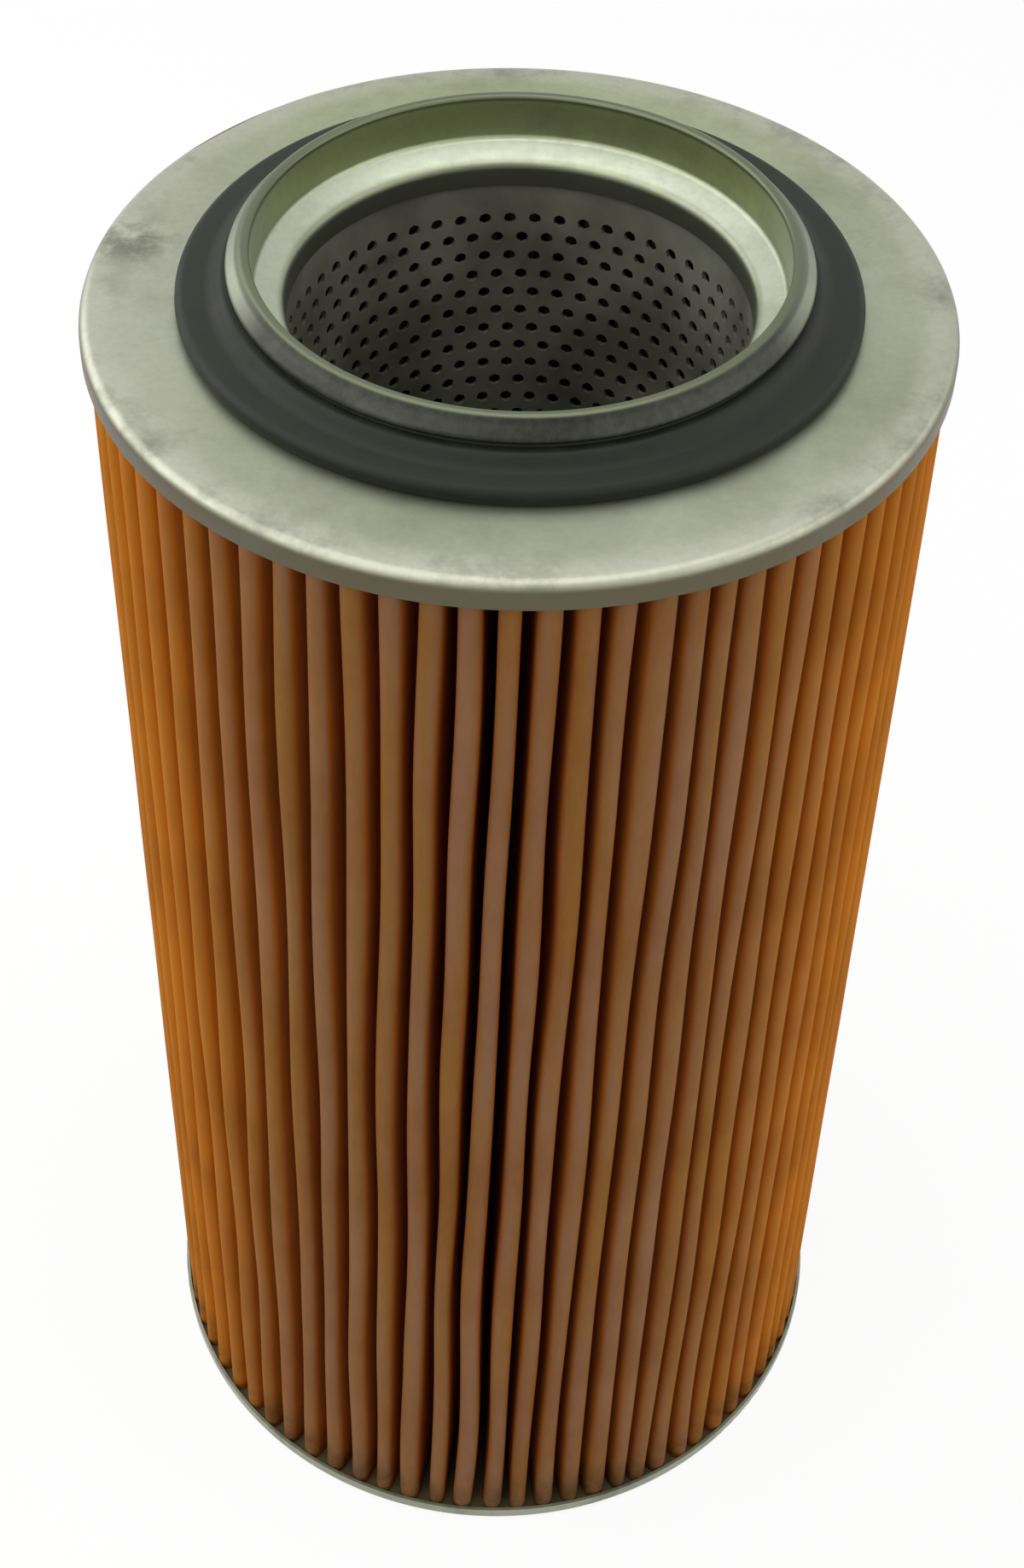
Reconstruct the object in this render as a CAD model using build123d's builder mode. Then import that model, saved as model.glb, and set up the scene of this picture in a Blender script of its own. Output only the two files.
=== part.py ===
from build123d import *
import os
from math import asin, degrees, radians, sin

# Pleated filter element, standing on its closed end: a folded paper pack round a
# perforated tube, bonded between two pressed steel end caps, with a rubber seal round
# the neck of the open end. Millimetres, +Z up, origin at the centre of the standing face.

# Overall size
cap_radius = 55.0  # outside of the top end cap
element_height = 205.8  # standing face to the flat of the top end cap

# Pressed end caps
plate_thickness = 0.5
rim_bend = 1.5  # outside radius of the edge that turns down into the skirt
top_skirt_depth = 3.6
base_radius = 54.8
base_skirt_height = 3.0
dish_radius = 26.9  # flat floor of the dish that is pressed up into the tube
dish_slope_width = 2.5
dish_depth = 2.5

# Neck of the top end cap: a fold whose outside slopes in above the seal, then a flange
# turned in to a collar that holds the tube
neck_radius = 36.0
neck_height = 7.9
neck_width = 2.5
neck_crown = 0.9  # width of the narrow top
neck_shoulder_height = 6.0  # where the outside starts to slope in
neck_shoulder_bend = 0.8
neck_fold = 0.5
flange_rise = 1.65  # how much higher the flange is at the neck than at the hole
hole_radius = 29.4
collar_bend = 0.8
collar_depth = 4.0

# Rubber seal ring of L section
seal_radius = 43.0
seal_thickness = 3.1
seal_lip_thickness = 0.6
seal_lip_height = 5.5
seal_outer_edge = 1.3

# Perforated centre tube, rolled from strip round the collar, with its lap outside
tube_thickness = 0.6
tube_blank_margin = 8.2  # unpierced at each end
tube_hole_radius = 2.5
tube_hole_sides = 6
tube_rows = 6
tube_holes_per_row = 7
tube_lap_width = 6.0
tube_lap_thickness = 0.5

# Adhesive that the ends of the paper are set in
bond_thickness = 1.3

# Folded paper
fold_count = 76
paper_thickness = 0.6
tip_radius = 54.3  # outermost reach of the folds
tip_fold = 1.35  # outer fold, on its convex side
root_clearance = 0.2  # between the tube's lap and the inner folds
root_fold = 0.75  # inner fold, on its convex side
fold_crowding = 0.106  # share by which the folds open out on -X and close up on +X
fold_wander = 0.538  # uneven spacing of the outer folds, degrees
wander_rates = (0.4, 0.5)  # radians from one fold to the next
seam_angle = 91.17  # direction of the first outer fold, where the ends of the paper meet
seam_gap = 0.2  # between the two ends of the paper
clip_thickness = 0.3
clip_depth = 5.0

# Heights and radii that follow
plate_underside = element_height - plate_thickness
paper_foot = plate_thickness + bond_thickness
paper_length = plate_underside - bond_thickness - paper_foot
neck_inner_radius = neck_radius - neck_width
tube_inner_radius = hole_radius + plate_thickness
tube_outer_radius = tube_inner_radius + tube_thickness
lap_radius = tube_outer_radius + tube_lap_thickness
skirt_inner_radius = cap_radius - plate_thickness
base_inner_radius = base_radius - plate_thickness

os.makedirs("parts", exist_ok=True)


# End caps: one pressed sheet each, turned about the axis, rounded on the outside of its bends

with BuildPart() as top_end_cap:
    with BuildSketch(Plane.XZ):
        with BuildLine():
            skirt_foot = element_height - top_skirt_depth
            neck_top = element_height + neck_height
            shoulder = element_height + neck_shoulder_height
            flange_height = element_height + flange_rise
            outside = FilletPolyline(
                (cap_radius, skirt_foot),
                (cap_radius, element_height),
                (neck_radius, element_height),
                (neck_radius, shoulder),
                (neck_inner_radius + neck_crown, neck_top),
                (neck_inner_radius, neck_top),
                (neck_inner_radius, flange_height),
                (hole_radius, element_height),
                (hole_radius, element_height - collar_depth),
                radius=[rim_bend, 0, neck_shoulder_bend, neck_fold, neck_fold, 0, collar_bend],
            )
            Polyline(
                outside @ 1,
                (tube_inner_radius, element_height - collar_depth),
                (tube_inner_radius, plate_underside),
                (neck_inner_radius + plate_thickness, flange_height - plate_thickness),
                (neck_inner_radius + plate_thickness, neck_top - plate_thickness),
                (neck_radius - plate_thickness, shoulder - plate_thickness),
                (neck_radius - plate_thickness, plate_underside),
                (skirt_inner_radius, plate_underside),
                (skirt_inner_radius, skirt_foot),
                outside @ 0,
            )
        make_face()
    revolve(axis=Axis.Z)

top_end_cap.part.label = "top_end_cap"
export_step(top_end_cap.part, "parts/top_end_cap.step")

with BuildPart() as bottom_end_cap:
    with BuildSketch(Plane.XZ):
        with BuildLine():
            dish_foot = dish_radius + dish_slope_width
            outside = FilletPolyline(
                (0, dish_depth),
                (dish_radius, dish_depth),
                (dish_foot, 0),
                (base_radius, 0),
                (base_radius, base_skirt_height),
                radius=[0, 0, rim_bend],
            )
            Polyline(
                outside @ 1,
                (base_inner_radius, base_skirt_height),
                (base_inner_radius, plate_thickness),
                (dish_foot, plate_thickness),
                (dish_radius, dish_depth + plate_thickness),
                (0, dish_depth + plate_thickness),
                outside @ 0,
            )
        make_face()
    revolve(axis=Axis.Z)

bottom_end_cap.part.label = "bottom_end_cap"
export_step(bottom_end_cap.part, "parts/bottom_end_cap.step")


# Seal ring: a low flange on the cap and a lip up round the neck

seal_top = element_height + seal_thickness
lip_top = element_height + seal_lip_height
lip_radius = neck_radius + seal_lip_thickness

with BuildPart() as seal_ring:
    with BuildSketch(Plane.XZ):
        with BuildLine():
            FilletPolyline(
                (neck_radius, element_height),
                (seal_radius, element_height),
                (seal_radius, seal_top),
                (lip_radius, seal_top),
                (lip_radius, lip_top),
                (neck_radius, lip_top),
                radius=[0, seal_outer_edge, seal_outer_edge, 0, 0, 0],
                close=True,
            )
        make_face()
    revolve(axis=Axis.Z)

seal_ring.part.label = "seal_ring"
export_step(seal_ring.part, "parts/seal_ring.step")


# Centre tube: staggered rows of holes, with none on the lap, which is at the front

first_row = paper_foot + tube_blank_margin
last_row = element_height - tube_blank_margin - tube_hole_radius
row_pitch = (last_row - first_row) / (tube_rows - 1)
hole_pitch = 360 / tube_holes_per_row
front = -90

with BuildPart() as punch:
    with BuildSketch(Plane.YZ):
        RegularPolygon(tube_hole_radius, tube_hole_sides)
    extrude(amount=lap_radius)

with BuildPart() as centre_tube:
    with BuildSketch(Plane.XY.offset(plate_thickness)):
        Circle(lap_radius)
        with Locations((0, -lap_radius)):
            Rectangle(tube_lap_width, lap_radius, mode=Mode.INTERSECT)
        Circle(tube_outer_radius)
        Circle(tube_inner_radius, mode=Mode.SUBTRACT)
    extrude(amount=plate_underside - plate_thickness)
    for row in range(tube_rows):
        shifted = row % 2
        holes = tube_holes_per_row - 1 + shifted
        first_hole = front + (1 - shifted / 2) * hole_pitch
        with Locations((0, 0, first_row + row * row_pitch)):
            with PolarLocations(0, holes, first_hole, holes * hole_pitch):
                add(punch.part, mode=Mode.SUBTRACT)

centre_tube.part.label = "centre_tube"
export_step(centre_tube.part, "parts/centre_tube.step")


# Adhesive beds between each cap and the ends of the paper

with BuildPart() as top_bond:
    with BuildSketch(Plane.XY.offset(plate_underside)):
        Circle(skirt_inner_radius)
        Circle(lap_radius, mode=Mode.SUBTRACT)
    extrude(amount=-bond_thickness)

top_bond.part.label = "top_bond"
export_step(top_bond.part, "parts/top_bond.step")

with BuildPart() as bottom_bond:
    with BuildSketch(Plane.XY.offset(plate_thickness)):
        Circle(base_inner_radius)
        Circle(lap_radius, mode=Mode.SUBTRACT)
    extrude(amount=bond_thickness)

bottom_bond.part.label = "bottom_bond"
export_step(bottom_bond.part, "parts/bottom_bond.step")


# Folded paper. An outer fold is an arc about its own centre, an inner fold is creased, and
# the flat wall between them crosses from one circle to the other. Whole numbers are outer
# folds, and halves are the inner folds between them.

tip_centre_radius = tip_radius - tip_fold
root_centre_radius = lap_radius + root_clearance + root_fold


def fold_centre(number):
    """Centre of a fold, from its place in the pack."""
    outer = number == int(number)
    even = seam_angle + 360 * number / fold_count
    angle = even - degrees(fold_crowding) * sin(radians(even))
    if outer and 0 < number < fold_count:
        angle += fold_wander * (sin(wander_rates[0] * number) + sin(wander_rates[1] * number))
    reach = tip_centre_radius if outer else root_centre_radius
    return Vector(reach, 0).rotate(Axis.Z, angle)


def fold_radius(number, outer_face):
    """Radius of a fold on the outer or the inner face of the paper."""
    if number in (0, fold_count):
        return seam_gap / 2 + paper_thickness * outer_face
    if number == int(number):
        return tip_fold - paper_thickness * (not outer_face)
    return root_fold - paper_thickness * outer_face


def wall(number, outer_face):
    """Ends of the flat wall that runs from a fold to the next inner or outer fold."""
    here, there = fold_centre(number), fold_centre(number + 0.5)
    radius_here, radius_there = fold_radius(number, outer_face), fold_radius(number + 0.5, outer_face)
    side = 1 if number == int(number) else -1
    lean = degrees(asin((radius_here + radius_there) / (there - here).length))
    normal = (there - here).normalized().rotate(Axis.Z, side * lean + 90)
    return here - normal * side * radius_here, there + normal * side * radius_there


def face_walls(outer_face):
    """The flat walls on one face of the paper, from one of its ends round to the other."""
    return [wall(step / 2, outer_face) for step in range(2 * fold_count)]


def face_edges(walls, outer_face):
    """One face of the paper: its flat walls, and the folds that join them."""
    edges = [Line(start, end, mode=Mode.PRIVATE) for start, end in walls]
    for step in range(1, len(walls)):
        outer = step % 2 == 0
        centre = fold_centre(step / 2)
        way_out = 1 if outer else -1
        crown = centre + centre.normalized() * way_out * fold_radius(step / 2, outer_face)
        fold = ThreePointArc if outer and outer_face else Polyline
        edges.append(fold(walls[step - 1][1], crown, walls[step][0], mode=Mode.PRIVATE))
    return edges


outer_walls, inner_walls = face_walls(True), face_walls(False)

with BuildPart() as pleated_paper:
    with BuildSketch(Plane.XY.offset(paper_foot)):
        with BuildLine():
            add(face_edges(outer_walls, True))
            add(face_edges(inner_walls, False))
            Line(outer_walls[0][0], inner_walls[0][0])
            Line(outer_walls[-1][1], inner_walls[-1][1])
        make_face()
    extrude(amount=paper_length)

pleated_paper.part.label = "pleated_paper"
export_step(pleated_paper.part, "parts/pleated_paper.step")


# Folded metal clip that grips the two ends of the paper together

first_start, first_end = outer_walls[0]
last_start, last_end = outer_walls[-1]

with BuildPart() as seam_clip:
    with BuildSketch(Plane.XY.offset(paper_foot)):
        with BuildLine():
            Polyline(
                first_start + (first_end - first_start).normalized() * clip_depth,
                first_start,
                last_end,
                last_end + (last_start - last_end).normalized() * clip_depth,
            )
            offset(amount=clip_thickness, side=Side.LEFT)
        make_face()
    extrude(amount=paper_length)

seam_clip.part.label = "seam_clip"
export_step(seam_clip.part, "parts/seam_clip.step")
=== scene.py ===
from math import asin, atan2, cos, degrees, pi, radians, sin

import bmesh
import bpy
from mathutils import Matrix, Vector, noise


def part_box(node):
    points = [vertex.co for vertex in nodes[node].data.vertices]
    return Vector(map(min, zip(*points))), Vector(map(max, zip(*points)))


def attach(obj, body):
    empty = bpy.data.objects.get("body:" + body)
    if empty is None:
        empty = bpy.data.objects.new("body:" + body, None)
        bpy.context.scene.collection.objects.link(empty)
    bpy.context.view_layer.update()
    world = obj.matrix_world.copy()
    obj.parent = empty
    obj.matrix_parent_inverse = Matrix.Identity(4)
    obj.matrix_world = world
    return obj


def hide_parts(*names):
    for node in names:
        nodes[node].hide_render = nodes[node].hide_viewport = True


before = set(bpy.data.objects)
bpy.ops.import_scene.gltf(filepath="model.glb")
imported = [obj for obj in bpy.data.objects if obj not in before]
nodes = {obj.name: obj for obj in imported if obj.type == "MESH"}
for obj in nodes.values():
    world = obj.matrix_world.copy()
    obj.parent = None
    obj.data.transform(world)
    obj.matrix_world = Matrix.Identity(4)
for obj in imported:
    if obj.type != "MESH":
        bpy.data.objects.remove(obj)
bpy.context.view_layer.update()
mm = 0.001
print("frame loaded:", ", ".join(sorted(nodes)))

# sizes read off the frame, which the pieces below are set out from
tubeLow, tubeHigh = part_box("centre_tube")
paperLow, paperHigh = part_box("pleated_paper")
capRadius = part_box("top_end_cap")[1].x
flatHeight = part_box("seal_ring")[0].z  # the flat of the top cap, which the seal lies on


# ---- camera: looks down on the element from the front
view = {
    "distance": 5.065,  # in cap radii, from the element's axis
    "height": 7.323,  # in cap radii, above its foot
    "turn": 0.16,  # degrees
    "pitch": 45.6,
    "roll": 1.70,
    "lens": 61.58,
    "sensor": 36.0,
}


def makeCamera():
    data = bpy.data.cameras.new("camera")
    data.sensor_fit = "VERTICAL"
    data.sensor_height = view["sensor"]
    data.lens = view["lens"]
    data.clip_start = 0.01
    camera = bpy.data.objects.new("camera", data)
    bpy.context.scene.collection.objects.link(camera)
    place = Matrix.Translation((0, -view["distance"] * capRadius, view["height"] * capRadius))
    turn = Matrix.Rotation(-radians(view["turn"]), 4, "Z")
    tilt = Matrix.Rotation(radians(90 - view["pitch"]), 4, "X")
    roll = Matrix.Rotation(radians(view["roll"]), 4, "Z")
    camera.matrix_world = place @ turn @ tilt @ roll
    bpy.context.scene.camera = camera


makeCamera()
print("camera set")


# ---- shader maths: a socket that can be added, multiplied and compared like a number
class Value:
    def __init__(self, finish, socket):
        self.finish, self.socket = finish, socket

    def maths(self, operation, first, second=0.0):
        return self.finish.node("ShaderNodeMath", {"operation": operation}, {0: first, 1: second})

    def __add__(self, other):
        return self.maths("ADD", self, other)

    def __sub__(self, other):
        return self.maths("SUBTRACT", self, other)

    def __rsub__(self, other):
        return self.maths("SUBTRACT", other, self)

    def __mul__(self, other):
        return self.maths("MULTIPLY", self, other)

    def __gt__(self, other):
        return self.maths("GREATER_THAN", self, other)

    def __lt__(self, other):
        return self.maths("LESS_THAN", self, other)

    __radd__, __rmul__ = __add__, __mul__


class Finish:
    def __init__(self, tree):
        self.tree = tree
        self.tree.nodes.clear()

    def node(self, kind, settings, inputs, output=0):
        made = self.tree.nodes.new(kind)
        for key, setting in settings.items():
            if key == "stops":
                self.setStops(made.color_ramp, setting)
            else:
                setattr(made, key, setting)
        for key, given in inputs.items():
            if isinstance(given, Value):
                self.tree.links.new(given.socket, made.inputs[key])
            else:
                made.inputs[key].default_value = given
        return Value(self, made.outputs[output]) if made.outputs else None

    def others(self, value, *outputs):
        # more outputs of the node that a value comes from
        return [Value(self, value.socket.node.outputs[output]) for output in outputs]

    def setStops(self, ramp, stops):
        for element, (position, grey) in zip(ramp.elements, stops):
            element.position = position
            element.color = (grey, grey, grey, 1)

    def ramp(self, value, low, high):
        # 0 below low, 1 above high, straight between
        return self.node("ShaderNodeValToRGB", {"stops": ((low, 0), (high, 1))}, {"Fac": value}, "Color")

    def between(self, value, low, high):
        # 0 at low, 1 at high, clamped and eased
        inputs = {"Value": value, "From Min": low, "From Max": high}
        return self.node("ShaderNodeMapRange", {"interpolation_type": "SMOOTHSTEP"}, inputs)

    def mix(self, factor, first, second):
        return self.node("ShaderNodeMix", {"data_type": "RGBA"}, {0: factor, 6: first, 7: second}, 2)

    def blend(self, factor, first, second):
        return self.node("ShaderNodeMixShader", {}, {0: factor, 1: first, 2: second})

    def seenDirectly(self):
        # 1 for rays from the camera, off gloss or through glass
        path = self.node("ShaderNodeLightPath", {}, {})
        camera, glossy, through = self.others(path, "Is Camera Ray", "Is Glossy Ray", "Is Transmission Ray")
        return camera.maths("MAXIMUM", camera.maths("MAXIMUM", camera, glossy), through)


class Surface(Finish):
    def __init__(self, name):
        self.material = bpy.data.materials.new(name)
        self.material.use_nodes = True
        super().__init__(self.material.node_tree)
        self.place = self.node("ShaderNodeTexCoord", {}, {}, "Object")

    def axes(self):
        apart = self.node("ShaderNodeSeparateXYZ", {}, {"Vector": self.place})
        return self.others(apart, 0, 1, 2)

    def reach(self, x, y):
        # distance from the element's axis
        return self.node("ShaderNodeMath", {"operation": "SQRT"}, {0: x * x + y * y})

    def noise(self, scale, detail=2.0, roughness=0.5, stretch=(1, 1, 1), shift=(0, 0, 0)):
        placed = {"Vector": self.place, "Scale": stretch, "Location": shift}
        where = self.node("ShaderNodeMapping", {}, placed)
        inputs = {"Vector": where, "Scale": scale, "Detail": detail, "Roughness": roughness}
        return self.node("ShaderNodeTexNoise", {"noise_dimensions": "3D"}, inputs, "Fac")

    def bump(self, height, distance, strength):
        inputs = {"Height": height, "Distance": distance, "Strength": strength}
        return self.node("ShaderNodeBump", {}, inputs, "Normal")

    def principled(self, **inputs):
        names = {key.replace("_", " ").title().replace("Ior", "IOR"): given for key, given in inputs.items()}
        shader = self.node("ShaderNodeBsdfPrincipled", {}, names)
        self.node("ShaderNodeOutputMaterial", {}, {"Surface": shader})
        return self.material


def srgb(red, green, blue):
    # screen values from 0 to 255, as linear light
    def linear(value):
        value /= 255
        return value / 12.92 if value <= 0.04045 else ((value + 0.055) / 1.055) ** 2.4
    return (linear(red), linear(green), linear(blue), 1)


# ---- finishes
plating = {
    "bright": srgb(158, 162, 144),
    "dull": srgb(136, 141, 118),
    "clouding": (38, 4, 0.6),  # scale, detail and roughness of the noise
    "cloudStops": (0.3, 0.7),
    "speckling": (900, 3, 0.65),
    "speckleStops": (0.35, 0.65),
    "speckleShare": 0.12,
    "handling": (75, 5, 0.7),
    "handlingShift": (4, 2, 0),
    "handlingStops": (0.5, 0.72),
    "blotching": (260, 5, 0.7),
    "blotchStops": (0.38, 0.58),
    "metallic": 0.75,
    "rough": 0.28,
    "cloudRough": 0.16,
    "speckleRough": 0.08,
    "stainRough": 0.15,
    "grain": 0.03 * mm,
    "grainStrength": 0.5,
    # painted shade: an olive tint, darker over the back of the flat and inside the neck: share, and where
    # along Y
    "olive": srgb(148, 156, 106),
    "shadedBack": (0.4, 0, 50 * mm),
    "shadedNeck": (0.7, 0, 16 * mm),
    "neckShadeLeast": 0.2,
    # painted highlight along the rim, and painted light towards -X
    "sheen": srgb(168, 170, 155),
    "sheenSide": (0.6, -26 * mm, -50 * mm),
    "rimSheenLeast": 0.4,
    "rimSheenCloud": 0.6,
    "flange": srgb(178, 183, 166),  # painted highlight: the flange inside the neck lighter
    "flangeShare": 0.9,
    # painted shade: the neck's crown darker, and the shoulder towards the back
    "crown": srgb(84, 89, 68),
    "crownShare": 0.9,
    "backShadeOnShoulder": (0.7, -4 * mm, 16 * mm),
    "shoulderShade": srgb(22, 23, 20),  # painted shade: the neck's sloping shoulder darker, most at the front
    "shoulderShadeFront": (0.8, -6 * mm, -20 * mm),
    "shoulderShadeLeast": 0.15,
    "skirt": srgb(84, 74, 52),  # painted shade: the skirt below the rim darker
    "skirtShare": 0.9,
    "skirtDepth": 9 * mm,
    # painted shade: the collar down into the hole darker
    "collar": srgb(80, 82, 68),
    "collarShare": 0.85,
    "stain": srgb(96, 98, 84),
    "stainShare": 0.85,
    "stainPlace": (-50.0, 9.5, 206),  # mm
    "stainReach": (8.5 * mm, 1.5 * mm),
    "rimGrime": (49 * mm, 54 * mm),
    "rimGrimeShare": 0.5,
    "leastGrime": 0.3,
}

platingZones = {  # radii and heights over the flat in mm, each from none to full
    "neckInside": ((33.9, 33.5), (1.0, 3.5)),
    "flange": ((33.4, 33.0), (0.2, 0.5)),
    "crown": ((32.9, 33.4), (6.9, 7.4)),
    "shoulder": ((34.6, 35.0), (3.0, 5.5)),
    "rim": ((49.0, 52.4), (-0.75, -0.3)),
    "skirt": ((capRadius / mm - 1.1, capRadius / mm - 0.4), (-0.35, -1.3)),
    "collar": ((30.5, 29.9), (0.25, -0.3)),
}


def makePlating():
    f, k = Surface("zincPlating"), plating
    x, y, z = f.axes()
    reach, above = f.reach(x, y), z - flatHeight

    def onZone(radii, heights):
        inReach = f.between(reach, *(radius * mm for radius in radii))
        return inReach * f.between(above, *(height * mm for height in heights))

    def along(axis, amount, low, high):
        return f.between(axis, low, high) * amount

    on = {name: onZone(*limits) for name, limits in platingZones.items()}
    cloud = f.noise(*k["clouding"])
    speckle = f.noise(*k["speckling"])
    colour = f.mix(f.ramp(cloud, *k["cloudStops"]), k["dull"], k["bright"])
    # painted shade: the back of the flat tinted darker olive
    colour = f.mix(along(y, *k["shadedBack"]), colour, k["olive"])
    # painted light: the plating lighter towards -X
    colour = f.mix(along(x, *k["sheenSide"]), colour, k["sheen"])
    # painted shade inside the neck, strongest towards the back
    neckShade = along(y, *k["shadedNeck"]) + k["neckShadeLeast"]
    colour = f.mix(on["neckInside"] * neckShade, colour, k["olive"])
    # painted highlight on the flange
    colour = f.mix(on["flange"] * k["flangeShare"], colour, k["flange"])
    # painted shade: the crown darker
    colour = f.mix(on["crown"] * k["crownShare"], colour, k["crown"])
    # painted shade: the shoulder darker towards the back
    colour = f.mix(on["shoulder"] * along(y, *k["backShadeOnShoulder"]), colour, k["crown"])
    # painted shade on the shoulder, strongest at the front
    shoulderShading = along(y, *k["shoulderShadeFront"]) + k["shoulderShadeLeast"]
    colour = f.mix(on["shoulder"] * shoulderShading, colour, k["shoulderShade"])
    # painted highlight: lighter along the rim, broken by the clouding
    colour = f.mix(on["rim"] * (cloud * k["rimSheenCloud"] + k["rimSheenLeast"]), colour, k["sheen"])
    # painted shade: the top cap's skirt darker
    onTopCap = above > -k["skirtDepth"]
    colour = f.mix(on["skirt"] * onTopCap * k["skirtShare"], colour, k["skirt"])
    # painted shade on the collar
    colour = f.mix(on["collar"] * k["collarShare"], colour, k["collar"])

    # a stain on the left of the flat, then grime all over, thickest at the rim
    spot = f.node("ShaderNodeVectorMath", {"operation": "DISTANCE"},
                  {0: f.place, 1: Vector(k["stainPlace"]) * mm}, "Value")
    around = f.between(spot, *k["stainReach"])
    blotch = f.ramp(f.noise(*k["blotching"]), *k["blotchStops"])
    colour = f.mix(around * blotch * k["stainShare"], colour, k["stain"])
    handled = f.ramp(f.noise(*k["handling"], shift=k["handlingShift"]), *k["handlingStops"])
    grimy = f.between(reach, *k["rimGrime"]) * k["rimGrimeShare"] + k["leastGrime"]
    colour = f.mix(handled * grimy, colour, k["stain"])
    colour = f.mix(f.ramp(speckle, *k["speckleStops"]) * k["speckleShare"], colour, k["stain"])
    uneven = cloud * k["cloudRough"] + speckle * k["speckleRough"] + around * k["stainRough"]
    return f.principled(base_color=colour, metallic=k["metallic"], roughness=uneven + k["rough"],
                        normal=f.bump(speckle, k["grain"], k["grainStrength"]))


rubber = {
    "black": srgb(17, 20, 13),
    "dustyAndFrontLit": srgb(36, 41, 26),
    "dusting": (160, 4, 0.7),
    "dustStops": (0.4, 0.75),
    "dustShare": 0.6,
    "rough": 0.5,
    "dustRough": 0.2,
    "gloss": 0.22,
    "graining": 1800,
    "grain": 0.05 * mm,
    "grainStrength": 0.4,
}


def makeRubber():
    f, k = Surface("sealRubber"), rubber
    dust = f.ramp(f.noise(*k["dusting"]), *k["dustStops"])
    colour = f.mix(dust * k["dustShare"], k["black"], k["dustyAndFrontLit"])
    return f.principled(base_color=colour, roughness=dust * k["dustRough"] + k["rough"],
                        specular_ior_level=k["gloss"],
                        normal=f.bump(f.noise(k["graining"]), k["grain"], k["grainStrength"]))


paper = {
    "crest": srgb(126, 93, 68),  # painted sheen: greyish tips at the front
    "warmCrest": srgb(126, 88, 42),
    "amberCrest": srgb(170, 104, 27),  # painted light: brighter amber tips round the sides and back
    "crestShare": 0.92,
    # painted light: walls amber round the sides and back, painted shade at the front
    "wall": srgb(190, 108, 20),
    "frontWall": srgb(142, 78, 24),
    # painted shade: darker deeper down between the folds
    "deep": srgb(146, 66, 14),
    "root": srgb(38, 27, 18),  # darker where the paper lies against the tube
    "rootShare": 0.9,
    "damp": srgb(104, 56, 18),
    "dampShare": 0.35,
    "pale": srgb(158, 112, 60),
    "paleShare": 0.16,
    "grime": srgb(58, 44, 22),  # oil and dirt crept up from the bottom cap
    "grimeShare": 0.75,
    "crestDepth": (1.1 * mm, 0.4 * mm),  # in from the folds' tips
    "wallDepth": (5.2 * mm, 1.3 * mm),
    "rootDepth": (16 * mm, 21 * mm),
    "frontLitReach": (-24 * mm, -50 * mm),  # along Y, from the painted light round the sides to the painted sheen and shade at the front
    "grimeHeight": (15 * mm, 3 * mm),
    "fibres": (900, 4, 0.7),  # scale, detail and roughness of the noise
    "fibreStretch": (1, 1, 0.25),
    "fibreStops": (0.4, 0.75),
    "foldTones": (230, 2, 0.6),  # streaks that run up the folds
    "foldStretch": (1, 1, 0.07),
    "foldStops": (0.4, 0.62),
    "patches": (45, 3, 0.6),
    "patchStops": (0.4, 0.7),
    "creeping": (110, 4, 0.7),
    "creepStops": (0.36, 0.62),
    "rough": 0.75,
    "fibreRough": 0.2,
    "gloss": 0.06,
    "relief": 0.12 * mm,
    "reliefStrength": 0.5,
}


def makePaper():
    f, k = Surface("filterPaper"), paper
    x, y, z = f.axes()
    reach = f.reach(x, y)

    def inFrom(name):
        return f.between(reach, *(paperHigh.x - depth for depth in k[name]))

    # painted sheen and shade at the front, painted light round the sides and back
    dustyAndFrontLit = f.between(y, *k["frontLitReach"])
    fibre = f.noise(*k["fibres"], stretch=k["fibreStretch"])
    foldTone = f.noise(*k["foldTones"], stretch=k["foldStretch"])
    tips = f.mix(f.ramp(foldTone, *k["foldStops"]), k["crest"], k["warmCrest"])
    tips = f.mix(dustyAndFrontLit, k["amberCrest"], tips)
    wall = f.mix(dustyAndFrontLit, k["wall"], k["frontWall"])
    # painted shade: the walls darken deeper between the folds
    colour = f.mix(inFrom("wallDepth"), k["deep"], wall)
    colour = f.mix(inFrom("crestDepth") * k["crestShare"], colour, tips)
    patch = f.ramp(f.noise(*k["patches"]), *k["patchStops"])
    colour = f.mix(patch * k["dampShare"], colour, k["damp"])
    colour = f.mix(f.ramp(fibre, *k["fibreStops"]) * k["paleShare"], colour, k["pale"])
    colour = f.mix(inFrom("rootDepth") * k["rootShare"], colour, k["root"])
    crept = f.between(z, *k["grimeHeight"]) * f.ramp(f.noise(*k["creeping"]), *k["creepStops"])
    colour = f.mix(crept * k["grimeShare"], colour, k["grime"])
    return f.principled(base_color=colour, roughness=fibre * k["fibreRough"] + k["rough"],
                        specular_ior_level=k["gloss"],
                        normal=f.bump(fibre, k["relief"], k["reliefStrength"]))


tubeSteel = {
    "plain": srgb(136, 137, 122),
    "dark": srgb(100, 99, 86),
    "clouding": (70, 4, 0.6),
    "cloudStops": (0.35, 0.7),
    "metallic": 0.5,
    "rough": 0.5,
    "cloudRough": 0.2,
    "graining": 600,
    "grain": 0.03 * mm,
    "grainStrength": 0.4,
}


def makeTubeSteel():
    f, k = Surface("tubeSteel"), tubeSteel
    cloud = f.noise(*k["clouding"])
    colour = f.mix(f.ramp(cloud, *k["cloudStops"]), k["dark"], k["plain"])
    return f.principled(base_color=colour, metallic=k["metallic"],
                        roughness=cloud * k["cloudRough"] + k["rough"],
                        normal=f.bump(f.noise(k["graining"]), k["grain"], k["grainStrength"]))


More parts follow.
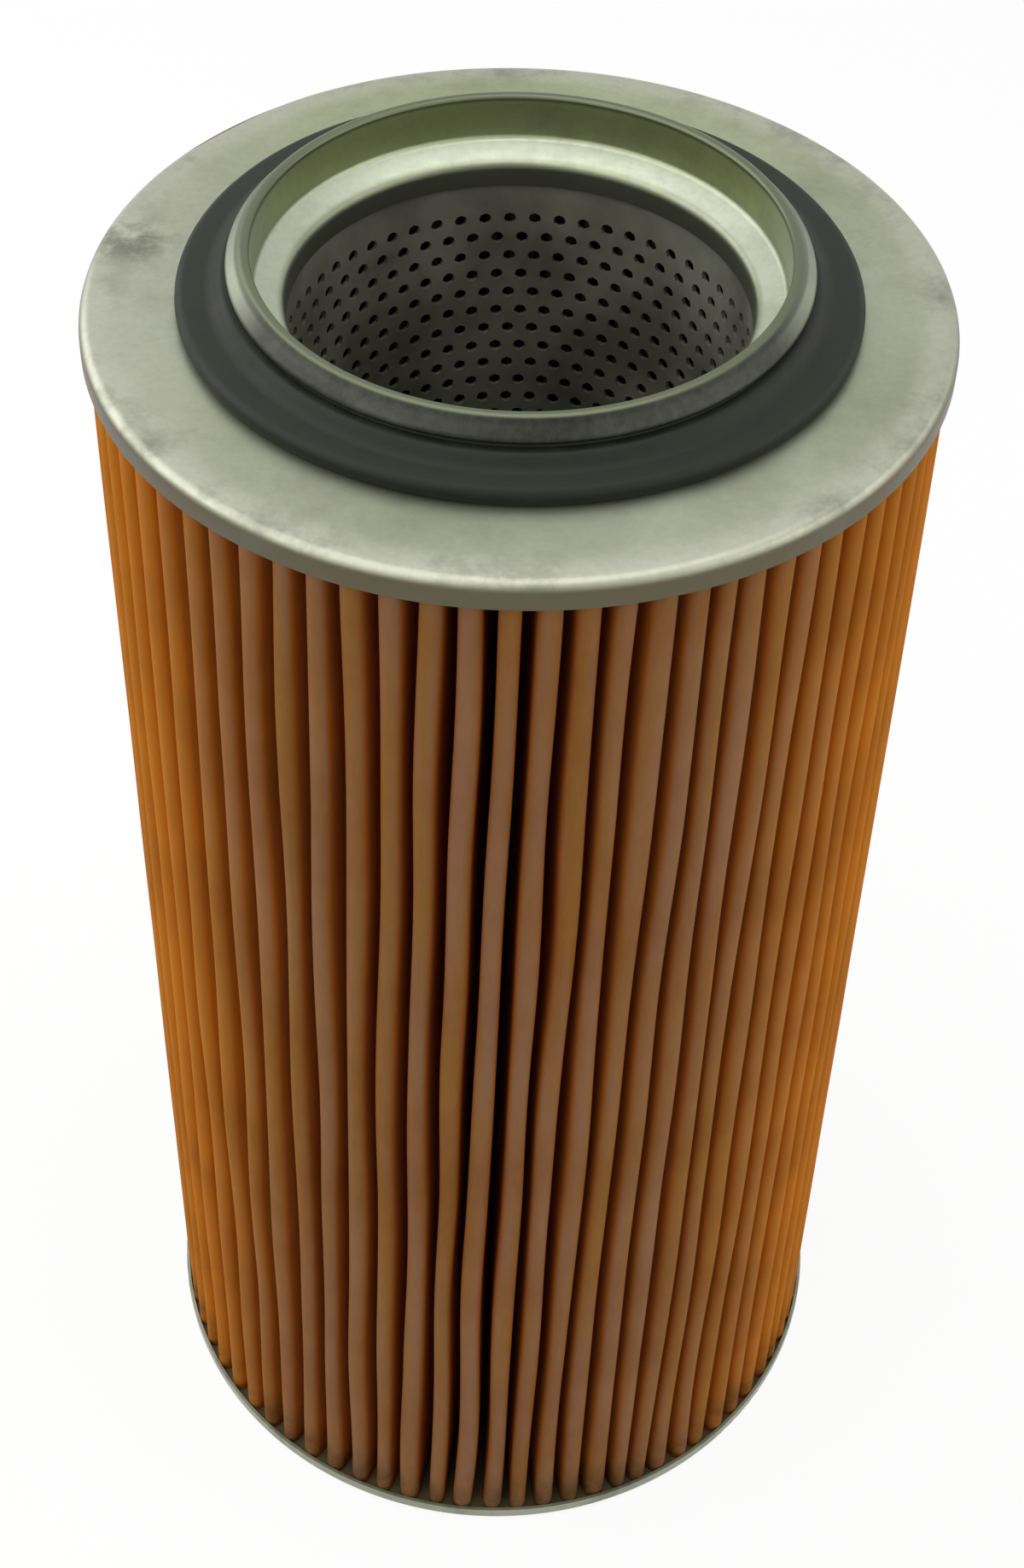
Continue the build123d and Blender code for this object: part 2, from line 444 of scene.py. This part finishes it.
adhesive = {
    "dark": srgb(74, 65, 42),
    "khaki": srgb(112, 100, 68),
    "clouding": (120, 3),
    "rough": 0.4,
    "cloudRough": 0.2,
    "lumps": 0.3 * mm,
    "lumpStrength": 0.5,
}


def makeBond():
    f, k = Surface("curedAdhesive"), adhesive
    cloud = f.noise(*k["clouding"])
    colour = f.mix(cloud, k["dark"], k["khaki"])
    return f.principled(base_color=colour, roughness=cloud * k["cloudRough"] + k["rough"],
                        normal=f.bump(cloud, k["lumps"], k["lumpStrength"]))


finishes = {
    "plated_steel": makePlating(),
    "seal_rubber": makeRubber(),
    "filter_paper": makePaper(),
    "tube_steel": makeTubeSteel(),
    "bond": makeBond(),
}
print("finishes made:", len(finishes))


# ---- nodes that keep their own shape
dressed = {
    "bottom_end_cap": "plated_steel",
    "top_bond": "bond",
    "bottom_bond": "bond",
    "seam_clip": "plated_steel",
}

for node, finish in dressed.items():
    for slot in nodes[node].material_slots:
        slot.material = finishes[finish]
print("nodes dressed:", len(dressed))


# ---- making pieces: a piece from a bmesh, given its wall, and a shape spun from an outline
making = {
    "sharpAngle": 40,  # degrees, past which an edge stays sharp
    "merge": 0.001 * mm,
    "cuts": 4,  # in each long edge of an outline
}


def makePiece(name, shape, node, slot, wall=0.0, offset=0):
    mesh = bpy.data.meshes.new(name)
    for face in shape.faces:
        face.smooth = True
    shape.to_mesh(mesh)
    shape.free()
    piece = bpy.data.objects.new(name, mesh)
    bpy.context.scene.collection.objects.link(piece)
    if wall:
        thick = piece.modifiers.new("wall", "SOLIDIFY")
        thick.thickness = wall
        thick.offset = offset
        thick.use_even_offset = True
    piece.data = bpy.data.meshes.new_from_object(piece.evaluated_get(bpy.context.evaluated_depsgraph_get()))
    piece.data.name = name
    piece.modifiers.clear()
    piece.data.set_sharp_from_angle(angle=radians(making["sharpAngle"]))
    piece.data.materials.append(finishes[slot])
    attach(piece, "root")
    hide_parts(node)
    print(name, "made:", len(piece.data.polygons), "faces")


def mergeDoubles(shape):
    bmesh.ops.remove_doubles(shape, verts=shape.verts[:], dist=making["merge"])


def vertsOf(geometry):
    return [made for made in geometry if isinstance(made, bmesh.types.BMVert)]


def spinOutline(outline, steps, bendSteps, closed=False, longEdge=None):
    # the outline holds radius, height over the flat and bend, in mm
    shape = bmesh.new()
    corners = [shape.verts.new((radius * mm, 0, flatHeight + height * mm)) for radius, height, _ in outline]
    following = corners[1:] + corners[:1] if closed else corners[1:]
    for first, second in zip(corners, following):
        shape.edges.new((first, second))
    for corner, (_, _, bend) in zip(corners, outline):
        if bend:
            bmesh.ops.bevel(shape, geom=[corner], offset=bend * mm, segments=bendSteps, profile=0.5,
                            affect="VERTICES", material=-1)
    if longEdge:
        long = [edge for edge in shape.edges if edge.calc_length() > longEdge]
        bmesh.ops.subdivide_edges(shape, edges=long, cuts=making["cuts"])
    bmesh.ops.spin(shape, geom=shape.verts[:] + shape.edges[:], cent=(0, 0, 0), axis=(0, 0, 1), angle=2 * pi,
                   steps=steps, use_merge=True)
    mergeDoubles(shape)
    bmesh.ops.recalc_face_normals(shape, faces=shape.faces[:])
    return shape


def portion(value, low, high):
    # 0 at low, 1 at high, clamped
    return max(0.0, min(1.0, (value - low) / (high - low)))


# ---- folded paper: one sheet round the tube, its two ends under the clip at the back
foldedPaper = {
    "folds": 76,
    "thickness": 0.6 * mm,
    "tipReach": 54.3 * mm,  # from the axis to the outer folds' tips
    "tipFold": 1.42 * mm,  # outer fold, on its convex side
    "rootFold": 0.75 * mm,
    "rootGap": 0.2 * mm,  # from the tube's lap to the inner folds
    "crowding": 0.106,  # the folds open out on -X and close up on +X
    "wander": 0.538,  # degrees of uneven spacing
    "wanderRates": (0.4, 0.5),
    "seamAngle": 91.17,
    "seamGap": 0.2 * mm,
    "tipSteps": 8,
    "rootSteps": 3,
    "rows": 38,
    "twist": 4.2,  # degrees from foot to top at the front, none at the clip
    "sway": 0.84 * mm,  # unevenness of the outer folds, sideways
    "shrink": 0.25 * mm,  # and in their reach
    "swayRound": 9,  # how quickly it changes round the element
    "swayUp": 5,  # and up a fold
    "shrinkRate": 1.3,
    "shrinkShift": (7, 7, 7),
    "seamHold": 8,  # how soon it begins beside the clip
}


def foldCentre(number):
    k = foldedPaper
    outer = number == int(number)
    even = k["seamAngle"] + 360 * number / k["folds"]
    angle = even - degrees(k["crowding"]) * sin(radians(even))
    if outer and 0 < number < k["folds"]:
        angle += k["wander"] * sum(sin(rate * number) for rate in k["wanderRates"])
    lapRadius = -tubeLow.y
    reach = k["tipReach"] - k["tipFold"] if outer else lapRadius + k["rootGap"] + k["rootFold"]
    return Vector((cos(radians(angle)) * reach, sin(radians(angle)) * reach, paperLow.z))


def foldRadius(number):
    # on the middle of the paper
    k = foldedPaper
    if number in (0, k["folds"]):
        return (k["seamGap"] + k["thickness"]) / 2
    return (k["tipFold"] if number == int(number) else k["rootFold"]) - k["thickness"] / 2


def wallEnds(number):
    # the flat wall from one fold to the next crosses from one fold's circle to the other's
    here, there = foldCentre(number), foldCentre(number + 0.5)
    side = 1 if number == int(number) else -1
    lean = asin((foldRadius(number) + foldRadius(number + 0.5)) / (there - here).length)
    normal = Matrix.Rotation(side * lean + pi / 2, 3, "Z") @ (there - here).normalized()
    return here - normal * side * foldRadius(number), there + normal * side * foldRadius(number + 0.5)


def bendPaper(shape):
    k = foldedPaper
    inner, outer = foldCentre(0.5).xy.length, k["tipReach"]
    for vert in shape.verts:
        angle = atan2(vert.co.y, vert.co.x)
        reach = vert.co.xy.length
        up = (vert.co.z - paperLow.z) / (paperHigh.z - paperLow.z)
        loose = (1 - cos(angle - radians(k["seamAngle"]))) / 2
        uneven = max(0.0, (reach - inner) / (outer - inner)) * min(1, loose * k["seamHold"])
        where = Vector((cos(angle) * k["swayRound"], sin(angle) * k["swayRound"], up * k["swayUp"]))
        angle += radians(k["twist"]) * (up - 0.5) * loose
        angle += noise.noise(where) * k["sway"] / outer * uneven
        elsewhere = where * k["shrinkRate"] + Vector(k["shrinkShift"])
        reach -= k["shrink"] * uneven * (0.5 + 0.5 * noise.noise(elsewhere))
        vert.co.x, vert.co.y = cos(angle) * reach, sin(angle) * reach


def makeFoldedPaper():
    k = foldedPaper
    shape = bmesh.new()
    walls = [wallEnds(step / 2) for step in range(2 * k["folds"])]
    pen = shape.verts.new(walls[0][0])
    for step, (start, end) in enumerate(walls):
        if step:
            outer = step % 2 == 0
            centre = foldCentre(step / 2)
            before, after = pen.co - centre, start - centre
            sweep = (atan2(after.y, after.x) - atan2(before.y, before.x)) % (2 * pi)
            if not outer:
                sweep -= 2 * pi
            spun = bmesh.ops.spin(shape, geom=[pen], cent=centre, axis=(0, 0, 1), angle=sweep,
                                  steps=k["tipSteps"] if outer else k["rootSteps"])
            pen = vertsOf(spun["geom_last"])[0]
        for part in (0.5, 1.0):
            reached = shape.verts.new(start.lerp(end, part))
            shape.edges.new((pen, reached))
            pen = reached
    mergeDoubles(shape)
    raised = bmesh.ops.extrude_edge_only(shape, edges=shape.edges[:])["geom"]
    bmesh.ops.translate(shape, verts=vertsOf(raised), vec=(0, 0, paperHigh.z - paperLow.z))
    uprights = [edge for edge in shape.edges if abs(edge.verts[0].co.z - edge.verts[1].co.z) > mm]
    bmesh.ops.subdivide_edges(shape, edges=uprights, cuts=k["rows"] - 1, use_grid_fill=True)
    bendPaper(shape)
    makePiece("foldedPaper", shape, "pleated_paper", "filter_paper", k["thickness"])


makeFoldedPaper()


# ---- top end cap: one pressed sheet, from the foot of its skirt over the neck to the collar
topCap = {
    "thickness": 0.5 * mm,
    "steps": 256,
    "bendSteps": 6,
    "longEdge": 4 * mm,
    "skirtFoot": -3.6,  # heights in mm from the flat, radii in mm
    "flatMiddle": 46.0,
    "neckRadius": 36.0,
    "neckInside": 33.5,
    "neckHeight": 7.9,
    "crown": 1.2,
    "shoulder": 5.8,
    "beadRadius": 36.55,  # the shoulder stands a little over the seal's lip
    "beadFoot": 4.8,
    "rimBend": 1.5,
    "flangeRise": 1.65,
    "holeRadius": 29.4,
    "collarBend": 0.8,
    "collarFoot": -3.2,
    "seat": 0.6,  # bends: at the foot of the neck, inside and out
    "beadFootBend": 0.1,
    "beadRise": 0.4,
    "beadBend": 0.25,
    "shoulderBend": 0.35,
    "crownBend": 0.4,
    "mouthBend": 0.5,
    "waver": 0.06 * mm,
    "waverScale": 45,
    "wavers": (47 * mm, 55 * mm),  # none inside the first radius
    "droop": 0.08 * mm,  # the flat falls a little towards the rim
    "droops": (49.5 * mm, 53.5 * mm),
    "dentAngle": 137,
    "dentWidth": 14,  # degrees
    "dentDepth": 0.3 * mm,
}


def makeTopCap():
    k = topCap
    shape = spinOutline((
        (capRadius / mm, k["skirtFoot"], 0),
        (capRadius / mm, 0, k["rimBend"]),
        (k["flatMiddle"], 0, 0),
        (k["neckRadius"], 0, k["seat"]),
        (k["neckRadius"], k["beadFoot"], k["beadFootBend"]),
        (k["beadRadius"], k["beadFoot"] + k["beadRise"], k["beadBend"]),
        (k["beadRadius"], k["shoulder"], k["shoulderBend"]),
        (k["neckInside"] + k["crown"], k["neckHeight"], k["crownBend"]),
        (k["neckInside"], k["neckHeight"], k["mouthBend"]),
        (k["neckInside"], k["flangeRise"], k["seat"]),
        (k["holeRadius"], 0, k["collarBend"]),
        (k["holeRadius"], k["collarFoot"], 0),
    ), k["steps"], k["bendSteps"], longEdge=k["longEdge"])
    highest = max(shape.faces, key=lambda face: face.calc_center_median().z)
    if highest.normal.z < 0:  # the sheet's outer side is the one seen from above
        bmesh.ops.reverse_faces(shape, faces=shape.faces[:])
    for vert in shape.verts:
        reach = vert.co.xy.length
        vert.co.z -= k["droop"] * portion(reach, *k["droops"]) ** 2
        edge = portion(reach, *k["wavers"])
        angle = degrees(atan2(vert.co.y, vert.co.x))
        off = abs((angle - k["dentAngle"] + 180) % 360 - 180) / k["dentWidth"]
        if off < 1:
            vert.co.z -= k["dentDepth"] * (0.5 + 0.5 * cos(pi * off)) * edge ** 2
        vert.co.z += k["waver"] * noise.noise(vert.co * k["waverScale"]) * edge
    makePiece("topCap", shape, "top_end_cap", "plated_steel", k["thickness"], -1)


makeTopCap()


# ---- seal ring: moulded rubber flange round the neck, with a lip up it
sealRing = {
    "steps": 192,
    "bendSteps": 7,
    "bore": 36.04,  # radii in mm, heights in mm from the cap's flat
    "foot": 0.02,
    "lipRadius": 37.3,
    "lipTop": 4.4,
    "hollow": 38.6,
    "hollowTop": 2.8,
    "hollowBend": 0.9,
    "radius": 43.0,
    "rimTop": 2.5,
    "rimShare": 0.49,  # of the rim's height, taken by each of its two bends
    "lipBend": 0.4,
    "lipRise": 0.1,  # from the lip's edge in to the bore
    "waver": 0.09 * mm,
    "waverScale": 40,
    "squeeze": 1.1 * mm,  # how far the soft rim is pressed in at the front
    "soft": (38 * mm, 43 * mm),  # the radii between which it gives
}


def makeSealRing():
    k = sealRing
    rimBend = k["rimTop"] * k["rimShare"]
    shape = spinOutline((
        (k["bore"], k["foot"], 0),
        (k["radius"], k["foot"], rimBend),
        (k["radius"], k["rimTop"], rimBend),
        (k["hollow"], k["hollowTop"], k["hollowBend"]),
        (k["lipRadius"], k["lipTop"], k["lipBend"]),
        (k["bore"], k["lipTop"] + k["lipRise"], 0),
    ), k["steps"], k["bendSteps"], closed=True)
    for vert in shape.verts:
        loose = portion(vert.co.xy.length, *k["soft"])
        vert.co.z += k["waver"] * loose * noise.noise(vert.co * k["waverScale"])
        front = max(0.0, -vert.co.y / vert.co.xy.length)
        vert.co.xy -= vert.co.xy.normalized() * k["squeeze"] * loose * front ** 3
    makePiece("sealRing", shape, "seal_ring", "seal_rubber")


makeSealRing()


# ---- centre tube: strip with fine staggered holes, rolled up
piercedTube = {
    "thickness": 0.6 * mm,
    "radius": 30.5 * mm,
    "holesRound": 56,
    "rows": 64,
    "holeRadius": 0.9 * mm,
    "holeSides": 8,
    "margin": 5.2 * mm,
    "merge": 0.01 * mm,
    "leastRise": 0.3 * mm,  # a jagged edge at an end climbs more than this
    "holeEdge": 1.2 * mm,  # and is longer than the edges of the holes
}


def repeat(shape, count, step):
    whole = shape.verts[:] + shape.edges[:] + shape.faces[:]
    for number in range(1, count):
        copied = bmesh.ops.duplicate(shape, geom=whole)["geom"]
        bmesh.ops.translate(shape, verts=vertsOf(copied), vec=step(number))


def isJagged(edge, limit, end):
    # past the last row's centres, steep, and no part of a hole
    k = piercedTube
    first, second = (vert.co.z - limit for vert in edge.verts)
    outside = min(first * (end - limit), second * (end - limit)) > -making["merge"] * mm
    steep = abs(first - second) > k["leastRise"]
    return edge.is_boundary and outside and steep and edge.calc_length() >= k["holeEdge"]


def makeTube():
    k = piercedTube
    foot, top = tubeLow.z, tubeHigh.z
    pitch = 2 * pi * k["radius"] / k["holesRound"]
    rise = (top - foot - 2 * k["margin"]) / (k["rows"] + 1)
    low = foot + k["margin"] + rise  # centres of the first and the last row
    high = foot + k["margin"] + rise * k["rows"]

    # one hole in its diamond of strip, then a row of them, then the rows, staggered
    shape = bmesh.new()
    bmesh.ops.create_circle(shape, segments=k["holeSides"], radius=k["holeRadius"])
    diamond = bmesh.ops.create_circle(shape, segments=4, radius=1.0)["verts"]
    bmesh.ops.scale(shape, verts=diamond, vec=(pitch / 2, rise, 1))
    sides = [edge for edge in shape.edges if edge.verts[0] in diamond]
    bmesh.ops.subdivide_edges(shape, edges=sides, cuts=1)
    bmesh.ops.bridge_loops(shape, edges=shape.edges[:])
    repeat(shape, k["holesRound"], lambda column: (column * pitch, 0, 0))
    repeat(shape, k["rows"], lambda row: (row % 2 * pitch / 2, row * rise, 0))
    bmesh.ops.remove_doubles(shape, verts=shape.verts[:], dist=k["merge"])

    # rolled up, and drawn out plain to both ends
    for vert in shape.verts:
        angle = vert.co.x / k["radius"]
        vert.co = (cos(angle) * k["radius"], sin(angle) * k["radius"], low + vert.co.y)
    bmesh.ops.remove_doubles(shape, verts=shape.verts[:], dist=k["merge"])
    for limit, end in ((low, foot), (high, top)):
        rim = [edge for edge in shape.edges if isJagged(edge, limit, end)]
        for made in vertsOf(bmesh.ops.extrude_edge_only(shape, edges=rim)["geom"]):
            made.co.z = end
    bmesh.ops.recalc_face_normals(shape, faces=shape.faces[:])
    makePiece("piercedTube", shape, "centre_tube", "tube_steel", k["thickness"], -1)


makeTube()


# ---- stage: pale floor, white surround, soft lamps
studio = {
    "floorSize": 6.0,
    "floorDrop": 0.1 * mm,  # clear of the cap's flat foot
    "floorPaint": (0.86, 0.86, 0.85, 1),
    "white": (1, 1, 1, 1),
    "clear": 0.9,  # how far the floor is plain white, near the element
    "clearAway": (0.35, 1.1),  # metres over which its shadow fades out
    "ambient": 0.4,
    "lamps": (  # place in cap radii, size in metres, watts
        ("key", (-9, -8, 13), 0.9, 2.9),
        ("fill", (11, -7, 8), 0.9, 1.5),
        ("top", (0, 1, 17), 0.8, 2.8),
        ("left", (-11, 4, 9), 0.8, 3.0),
        ("right", (13, 0, 7), 0.8, 1.6),
    ),
}


def makeLamp(name, place, size, power):
    data = bpy.data.lights.new(name, "AREA")
    data.shape = "DISK"
    data.size = size
    data.energy = power
    lamp = bpy.data.objects.new(name, data)
    bpy.context.scene.collection.objects.link(lamp)
    lamp.location = Vector(place) * capRadius
    aim = Vector((0, 0, flatHeight / 2)) - lamp.location
    lamp.rotation_euler = aim.to_track_quat("-Z", "Y").to_euler()


def makeWorld():
    world = bpy.data.worlds.new("surround")
    bpy.context.scene.world = world
    world.use_nodes = True
    f = Finish(world.node_tree)
    soft = f.node("ShaderNodeBackground", {}, {"Color": studio["white"], "Strength": studio["ambient"]})
    white = f.node("ShaderNodeBackground", {}, {"Color": studio["white"], "Strength": 1.0})
    f.node("ShaderNodeOutputWorld", {}, {"Surface": f.blend(f.seenDirectly(), soft, white)})


def makeFloor():
    shape = bmesh.new()
    bmesh.ops.create_grid(shape, x_segments=1, y_segments=1, size=studio["floorSize"] / 2)
    bmesh.ops.translate(shape, verts=shape.verts[:], vec=(0, 0, -studio["floorDrop"]))
    mesh = bpy.data.meshes.new("floor")
    shape.to_mesh(mesh)
    shape.free()
    floor = bpy.data.objects.new("floor", mesh)
    bpy.context.scene.collection.objects.link(floor)
    f = Surface("paleFloor")
    x, y, _ = f.axes()
    matt = f.node("ShaderNodeBsdfDiffuse", {}, {"Color": studio["floorPaint"]})
    glow = f.node("ShaderNodeEmission", {}, {"Color": studio["white"], "Strength": 1.0})
    clear = f.between(f.reach(x, y), *studio["clearAway"]) * (1 - studio["clear"]) + studio["clear"]
    f.node("ShaderNodeOutputMaterial", {}, {"Surface": f.blend(f.seenDirectly() * clear, matt, glow)})
    mesh.materials.append(f.material)


makeWorld()
makeFloor()
for lamp in studio["lamps"]:
    makeLamp(*lamp)
bpy.context.scene.view_settings.view_transform = "Standard"
print("stage lit")
